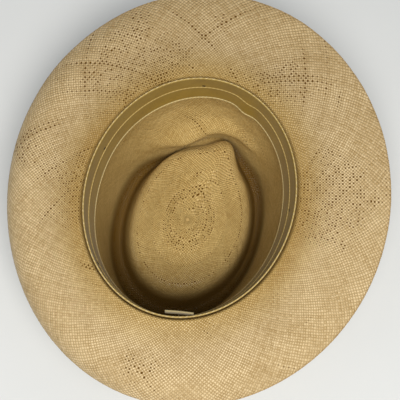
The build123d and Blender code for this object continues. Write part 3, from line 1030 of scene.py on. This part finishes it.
def reed_spine(turn):
    return wall_radius(turn, REED_HEIGHT) - REED_IN, REED_HEIGHT


def ridge_spine(turn):
    """The ridge slips down and in at the kink."""
    height = RIDGE_HEIGHT - RIDGE_SLIP * swell(turn, KINK_TURN, KINK_SPREAD)
    inwards = band_offset(turn, height) + BAND_THICKNESS / 2 + RIDGE_PROUD * RIDGE_SIZE
    return wall_radius(turn, height) - inwards, height


def binding_spine(turn):
    height = BAND_BOTTOM - BINDING_DROP
    return wall_radius(turn, height) - band_offset(turn, height), height


reed = cord_round("reed_cord", reed_spine, REED_SIZE, REED_SIZE, CORD_THREAD)
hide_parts("sweatband_reed")
ridge = cord_round("ridge_cord", ridge_spine, RIDGE_SIZE, RIDGE_SIZE, CORD_THREAD)
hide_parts("sweatband_ridge_cord")
binding = cord_round("edge_binding", binding_spine, BINDING_WIDE, BINDING_TALL, BINDING_THREAD)
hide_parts("sweatband_binding")
print("cords:", [piece.name for piece in (reed, ridge, binding)])

# %% [markdown]
# ## Stitches inside
# Short slanted stitches sew the reed to the straw, and a ladder of stitches closes the band's two ends at
# the back, behind the size tab. Dark knots are the ends of the tacks that hold the ribbon outside.

# %% Reed stitches and the seam ladder
THREAD = 0.5
THREAD_PROUD = 0.15
REED_STITCH_COUNT = 110
REED_STITCH_SIZE = (0.3, 0.3, 1.6)
REED_STITCH_SLANT = 14
SEAM_TURN = 168.5
SEAM_STITCH_COUNT = 6
SEAM_STITCH_WIDTH = 3.4
SEAM_ENDS = (BAND_BOTTOM + 2.4, RIDGE_HEIGHT - 3.0)
PALE_THREAD = streaked("cotton_thread_pale", "#ead9ab", "#c0a877", 0.0008, 0.7, 0.0001)
DARK_THREAD = streaked("cotton_thread_dark", "#2c1e14", "#120b07", 0.0008, 0.7, 0.0001)


def reed_top(turn):
    radius, height = reed_spine(turn)
    return place(turn, radius, height + REED_SIZE / 2)


reed_thread = beads(
    "reed_stitch_threads", [reed_top(turn) for turn in round_turns(BAND_TURNS)], True,
    Count=REED_STITCH_COUNT, Size=[v * MM for v in REED_STITCH_SIZE],
    Slant=(math.radians(REED_STITCH_SLANT), 0, 0), Smallest=0.85, Seed=5, Finish=PALE_THREAD,
)
seam_line = []
for height in SEAM_ENDS:
    inwards = band_offset(SEAM_TURN, height) + BAND_THICKNESS / 2 + THREAD_PROUD
    seam_line.append(place(SEAM_TURN, wall_radius(SEAM_TURN, height) - inwards, height))
seam_thread = beads(
    "seam_stitch_threads", seam_line, False, Count=SEAM_STITCH_COUNT,
    Size=[THREAD / 2 * MM, SEAM_STITCH_WIDTH / 2 * MM, THREAD / 2 * MM], Slant=(0, 0, 0),
    Smallest=0.9, Seed=2, Finish=PALE_THREAD,
)
for piece, node in ((reed_thread, "reed_stitches"), (seam_thread, "sweatband_seam_stitches")):
    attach(piece, "hat")
    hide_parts(node)
print("stitches:", REED_STITCH_COUNT, "on the reed and", SEAM_STITCH_COUNT, "in the seam")

# %% Tack knots
TACK_TURNS = (80.0, 217.0, 284.0, 350.0)
TACK_LENGTH = 3.0
TACK_STRANDS = (  # place above the knot's middle, half length and half height
    (0.4, TACK_LENGTH / 2, 0.4), (-0.4, TACK_LENGTH / 2, 0.4), (0.0, 0.5, 0.95),
)
TACK_HALF_DEPTH = 0.34
TACK_ABOVE_RIDGE = 2.2
TACK_BELOW_TOP = 2.4
TACK_OUT = 0.2
RIBBON_TOP = CROWN_DEPTH - 7.0
RIBBON_WIDTH = 36.0
RIBBON_OUT = STRAW_THICKNESS + 0.9
RIBBON_THICKNESS = 0.7
BOW_TURN = 92.0
BOW_TAIL_TURN = 24.0


def thread_knot(shape, turn, radius, height):
    """Two strands of thread side by side and one across them."""
    turned = Matrix.Rotation(math.radians(-turn), 4, "Z")
    for above, long, tall in TACK_STRANDS:
        size = Matrix.Diagonal((long * MM, TACK_HALF_DEPTH * MM, tall * MM, 1.0))
        where = Matrix.Translation(place(turn, radius, height + above))
        bmesh.ops.create_uvsphere(shape, u_segments=10, v_segments=7, radius=1.0,
                                  matrix=where @ turned @ size)


knots = bmesh.new()
inner_height = RIDGE_HEIGHT + TACK_ABOVE_RIDGE
outer_height = RIBBON_TOP - TACK_BELOW_TOP
for turn in TACK_TURNS:
    face = band_offset(turn, inner_height) + BAND_THICKNESS / 2
    thread_knot(knots, turn, wall_radius(turn, inner_height) - face - THREAD_PROUD, inner_height)
    if abs(turn - BOW_TURN) > BOW_TAIL_TURN:
        out = RIBBON_OUT + RIBBON_THICKNESS + TACK_OUT
        thread_knot(knots, turn, wall_radius(turn, outer_height) + out, outer_height)
tack_mesh = bpy.data.meshes.new("tack_threads")
knots.to_mesh(tack_mesh)
knots.free()
tacks = new_object("tack_threads", tack_mesh)
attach(tidy(tacks, DARK_THREAD), "hat")
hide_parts("hatband_tacks")
print("tack knot triangles:", triangles(tacks))

# %% [markdown]
# ## Size tab
# A short piece of cotton tape, folded double, hangs by its crease from the top of the band at the back. It
# is one strip that goes up behind, over the fold and down in front, so its section is drawn once and
# repeated along its width. It swings on its own body, so it rides on that one.

# %% Folded tape
TAB_WIDTH = 22.0
TAB_DROP = 13.0
TAPE_THICKNESS = 0.35
FOLD_RADIUS = 0.42
FOLD_STEPS = 8
TAB_BACK = 0.25
TAB_ROWS = 10
TAB_COLUMNS = 12
TAB_FLARE = 0.006
TAB_SAG = 0.25
TAB_ROW_LENGTH = 0.85
tab_joint = frame["joints"][0]
crease = Vector(tab_joint["pos_m"])
tab_along = Vector(tab_joint["axis"]).normalized()
tab_in = Vector((CENTRE_X, CENTRE_Y, crease.z)) - crease
tab_in = (tab_in - tab_in.dot(tab_along) * tab_along).normalized()


def tab_section():
    """Depth towards the head and drop below the crease, along the folded tape."""
    back = [(0.0, row * TAB_DROP / TAB_ROWS) for row in range(TAB_ROWS - 1, 0, -1)]
    fold = []
    for step in range(FOLD_STEPS + 1):
        angle = math.pi * step / FOLD_STEPS
        fold.append((FOLD_RADIUS * (1 - math.cos(angle)), FOLD_RADIUS * (1 - math.sin(angle))))
    drops = [row * TAB_DROP / TAB_ROWS for row in range(1, TAB_ROWS + 1)]
    front = [(2 * FOLD_RADIUS + TAB_FLARE * drop ** 2, drop) for drop in drops]
    return back + fold + front


def tab_point(depth, drop, along):
    """A point of the tape, from its depth and drop in the section and its place along the crease."""
    inwards = depth + TAB_SAG * math.cos(math.pi * along / TAB_WIDTH) - TAB_BACK
    return crease + tab_in * inwards * MM + Vector((0, 0, -drop * MM)) + tab_along * along * MM


tab_widths = [TAB_WIDTH * (step / TAB_COLUMNS - 0.5) for step in range(TAB_COLUMNS + 1)]
section = tab_section()
tab = surface(
    "size_tab_tape",
    [[tab_point(depth, drop, along) for along in tab_widths] for depth, drop in section],
    lambda face_row, row, column: (tab_widths[column], TAB_ROW_LENGTH * row),
)
TAPE = ribbed_cloth("cotton_tape_aged", "#bfb086", "#95855a", 0.9, "Y", 0.8, 0.00015, 0.1)
tab = tidy(thicken(tab, TAPE_THICKNESS), TAPE)
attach(tab, "size_tab")
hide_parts("size_tab")
print("tab tape (mm):", TAB_WIDTH, "by", 2 * TAB_DROP)

# %% [markdown]
# ## Ribbon and bow
# Outside, a dark ribbed silk ribbon hides where crown and brim meet, and ends in a flat bow over the
# wearer's left ear. Ribbon is a strip of one width, so each part is a path of turns and distances from
# the wall, swept between a lower and an upper edge, and given the ribbon's thickness at the end.

# %% Ribbon band
RIB_WIDTH = 1.1
SILK = ribbed_cloth("silk_grosgrain_dark", "#4a3a30", "#1c1512", RIB_WIDTH, "X", 0.5, 0.0002, 0.4)
RIBBON_LOW = RIBBON_TOP - RIBBON_WIDTH
RIBBON_ROWS = 8


def ribbon_piece(name, path, low, high, thickness=RIBBON_THICKNESS, ring=False, node=None):
    """A strip of ribbon. path holds turns and distances out of the wall; low and high give its edges."""
    rows, lengths = [], [0.0]
    for row in range(RIBBON_ROWS + 1):
        share = row / RIBBON_ROWS
        points = []
        for turn, out in path:
            height = low(turn) + (high(turn) - low(turn)) * share
            points.append(place(turn, wall_radius(turn, height) + out, height))
        rows.append(points)
    for a, b in zip(rows[0], rows[0][1:] + rows[0][:1]):
        lengths.append(lengths[-1] + (b - a).length / MM)
    piece = surface(
        name, rows,
        lambda face_row, row, column: (lengths[column], RIBBON_WIDTH * row / RIBBON_ROWS), ring=ring,
    )
    piece = tidy(thicken(piece, thickness), SILK)
    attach(piece, "hat")
    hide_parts(node)
    return piece


ribbon_path = [(turn, RIBBON_OUT + RIBBON_THICKNESS / 2) for turn in round_turns(BAND_TURNS)]
ribbon = ribbon_piece(
    "ribbon_band", ribbon_path, lambda turn: RIBBON_LOW, lambda turn: RIBBON_TOP,
    ring=True, node="hatband_ribbon",
)
print("ribbon triangles:", triangles(ribbon))

# %% Bow: two loops, a free end and the knot round them
LOOP_TURN = 17.0
LOOP_END = 0.8
LOOP_BEND = 0.6
BEND_STEPS = 6
KNOT_TURN = 4.2
KNOT_COVER = 1.0
LOOP_NEAR = RIBBON_OUT + RIBBON_THICKNESS + 0.5
LOOP_BULGE = 2.0
LOOP_PUFF = 0.5
BOW_RIBBON = 0.5
LOOP_STEPS = 12
GATHER_LEAST = 1.0
GATHER_MORE = 2.5
GATHER_SPREAD = 6.0
TAIL_STEPS = 14
TAIL_SUNK = 0.45
TAIL_RIBBON = 0.4
TAIL_INSET = 1.5
TAIL_SLANT = 12.0
TAIL_SLANT_FROM = 3.0


def loop_path(side):
    """Out from the knot, round the fold and back over itself."""
    reach = LOOP_TURN - LOOP_END
    start = KNOT_TURN - KNOT_COVER
    run = reach - KNOT_TURN + KNOT_COVER
    shares = [step / LOOP_STEPS for step in range(LOOP_STEPS + 1)]
    path = [(BOW_TURN + side * (start + run * share), LOOP_NEAR) for share in shares]
    for step in range(1, BEND_STEPS):
        angle = math.pi * step / BEND_STEPS
        path.append((BOW_TURN + side * (reach + LOOP_BEND * math.sin(angle)),
                     LOOP_NEAR + LOOP_BULGE / 2 * (1 - math.cos(angle))))
    for share in [1 - share for share in shares]:
        puff = LOOP_PUFF * math.sin(math.pi * share)
        path.append((BOW_TURN + side * (start + run * share), LOOP_NEAR + LOOP_BULGE + puff))
    return path


def gathered(turn):
    """The ribbon narrows where the knot gathers it."""
    return GATHER_LEAST + GATHER_MORE * swell(turn, BOW_TURN, GATHER_SPREAD)


def bow_low(turn):
    return RIBBON_LOW + gathered(turn)


def bow_high(turn):
    return RIBBON_TOP - gathered(turn)


def tail_high(turn):
    """The free end is cut on a slant."""
    beyond = turn - BOW_TURN - LOOP_TURN + TAIL_SLANT_FROM
    past_loop = clamp(beyond / (BOW_TAIL_TURN - LOOP_TURN + TAIL_SLANT_FROM))
    return RIBBON_TOP - TAIL_INSET - TAIL_SLANT * past_loop


front_loop = ribbon_piece(
    "bow_loop_front", loop_path(-1), bow_low, bow_high, BOW_RIBBON, node="bow_front_loop")
back_loop = ribbon_piece(
    "bow_loop_back", loop_path(1), bow_low, bow_high, BOW_RIBBON, node="bow_back_loop")
tail_path = [(BOW_TURN + KNOT_TURN + (BOW_TAIL_TURN - KNOT_TURN) * step / TAIL_STEPS, LOOP_NEAR - TAIL_SUNK)
             for step in range(TAIL_STEPS + 1)]
ribbon_piece(
    "bow_free_end", tail_path, lambda turn: RIBBON_LOW + TAIL_INSET, tail_high, TAIL_RIBBON, node="bow_tail")
print("bow loops and free end made")

# %% [markdown]
# The knot is a short piece of the same ribbon, wrapped tightly round the bow's waist, with soft pleats.

# %% Knot
KNOT_ROWS = 24
KNOT_COLUMNS = 16
KNOT_PAST = 0.6
KNOT_WAIST = 0.85
KNOT_FLARE = 0.15
KNOT_SUNK = 0.4
KNOT_PROUD = 1.3
DOME_SIDES = 4
DOME_ENDS = 8
PLEAT = 0.25
PLEATS = 3
KNOT_STEP_UP = 1.5
KNOT_STEP_SIDE = 0.75
KNOT_OUT = LOOP_NEAR + LOOP_BULGE


def knot_point(row, column):
    """A point of the wrapped ribbon: domed, pleated, and narrower at its waist."""
    upward = row / (KNOT_ROWS / 2) - 1
    height = (RIBBON_LOW + RIBBON_TOP) / 2 + (RIBBON_WIDTH / 2 + KNOT_PAST) * upward
    sideways = column / (KNOT_COLUMNS / 2) - 1
    turn = BOW_TURN + KNOT_TURN * sideways * (KNOT_WAIST + KNOT_FLARE * upward ** 2)
    dome = (1 - abs(sideways) ** DOME_SIDES) * (1 - abs(upward) ** DOME_ENDS)
    pleat = PLEAT * math.cos(PLEATS * math.pi * sideways) * dome
    out = LOOP_NEAR - KNOT_SUNK + (KNOT_OUT - LOOP_NEAR + KNOT_PROUD) * dome + pleat
    return place(turn, wall_radius(turn, height) + out, height)


knot = surface(
    "bow_wrap",
    [[knot_point(row, column) for column in range(KNOT_COLUMNS + 1)] for row in range(KNOT_ROWS + 1)],
    lambda face_row, row, column: (row * KNOT_STEP_UP, column * KNOT_STEP_SIDE),
)
knot = tidy(thicken(knot, BOW_RIBBON), SILK)
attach(knot, "hat")
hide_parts("bow_knot")
print("knot stands out of the wall by (mm):", round(KNOT_OUT + KNOT_PROUD, 1))

# %% [markdown]
# ## Floor, light and camera
# The hat lies on a pale floor. A large soft light hangs above and behind the hat, so shadows are wide and
# faint, and the groove is dark from the crown's own depth and from painted shade. The camera looks down into
# the opening from a little behind the hat, and is rolled slightly, as a camera held by hand is.

# %% Floor
FLOOR_HALF = 1.5
FLOOR_LIGHT = "#dcdfe1"
FLOOR_DARK = "#d0d4d6"
FLOOR_PATCHES = 5.0
FLOOR_GRAIN = 900.0


def painted_board():
    """A matt painted board: almost even, with faint brush-wide changes of tone."""
    material = new_material("painted_board_matt")
    tree = material.node_tree
    body = add(tree, "ShaderNodeTexCoord")
    patches, grain = [
        add(tree, "ShaderNodeTexNoise", {"Vector": body.outputs["Object"], "Scale": scale, "Detail": detail})
        for scale, detail in ((FLOOR_PATCHES, 3.0), (FLOOR_GRAIN, 2.0))
    ]
    colour = add(tree, "ShaderNodeMix",
                 {0: patches, 6: linear(FLOOR_DARK), 7: linear(FLOOR_LIGHT)}, data_type="RGBA")
    bump = add(tree, "ShaderNodeBump", {"Strength": 0.2, "Distance": 0.0002, "Height": grain})
    return finish_material(material, Base_Color=colour.outputs[2], Roughness=0.85, Normal=bump)


corners = [(x * FLOOR_HALF, y * FLOOR_HALF, 0) for x, y in ((-1, -1), (1, -1), (1, 1), (-1, 1))]
floor_mesh = bpy.data.meshes.new("floor")
floor_mesh.from_pydata(corners, [], [(0, 1, 2, 3)])
floor_mesh.materials.append(painted_board())
floor = new_object("floor", floor_mesh)
print("floor (m):", 2 * FLOOR_HALF, "square")

# %% Soft light
KEY_PLACE = (0.22, -0.6, 1.47)
KEY_SIZE = 0.8
KEY_POWER = 27.0
SKY_STRENGTH = 0.3
SKY_COLOUR = "#eef3f8"


def soft_light(name, where, size, power, colour):
    """A square soft box that faces the hat."""
    data = bpy.data.lights.new(name, "AREA")
    data.size = size
    data.energy = power
    data.color = linear(colour)[:3]
    light = new_object(name, data)
    light.location = where
    aim = Vector((CENTRE_X, CENTRE_Y, OPENING_Z / 2)) - light.location
    light.rotation_euler = aim.to_track_quat("-Z", "Y").to_euler()


soft_light("soft_box", KEY_PLACE, KEY_SIZE, KEY_POWER, "#fffaf2")
world = bpy.data.worlds.new("pale_room")
world.use_nodes = True
world.node_tree.nodes.clear()
sky = add(world.node_tree, "ShaderNodeBackground", {"Color": linear(SKY_COLOUR), "Strength": SKY_STRENGTH})
add(world.node_tree, "ShaderNodeOutputWorld", {"Surface": sky})
bpy.context.scene.world = world
bpy.context.scene.view_settings.view_transform = "Standard"
print("soft box (m):", KEY_SIZE, "at", KEY_PLACE)

# %% Camera
CAMERA_PLACE = Vector((0.0309, -0.1978, 0.812))
CAMERA_AIM = Vector((0.00368, -0.01039, OPENING_Z))
CAMERA_ROLL = 8.636
LENS = 83.08
SENSOR_WIDTH = 36.0
camera_data = bpy.data.cameras.new("camera")
camera_data.lens = LENS
camera_data.sensor_width = SENSOR_WIDTH
camera = new_object("camera", camera_data)
level = (CAMERA_AIM - CAMERA_PLACE).to_track_quat("-Z", "Y").to_matrix().to_4x4()
roll = Matrix.Rotation(math.radians(CAMERA_ROLL), 4, "Z")
camera.matrix_world = Matrix.Translation(CAMERA_PLACE) @ level @ roll
bpy.context.scene.camera = camera
axes = camera.matrix_world.to_3x3().transposed()
print("camera right, up, back:", [[round(v, 3) for v in axis] for axis in axes])
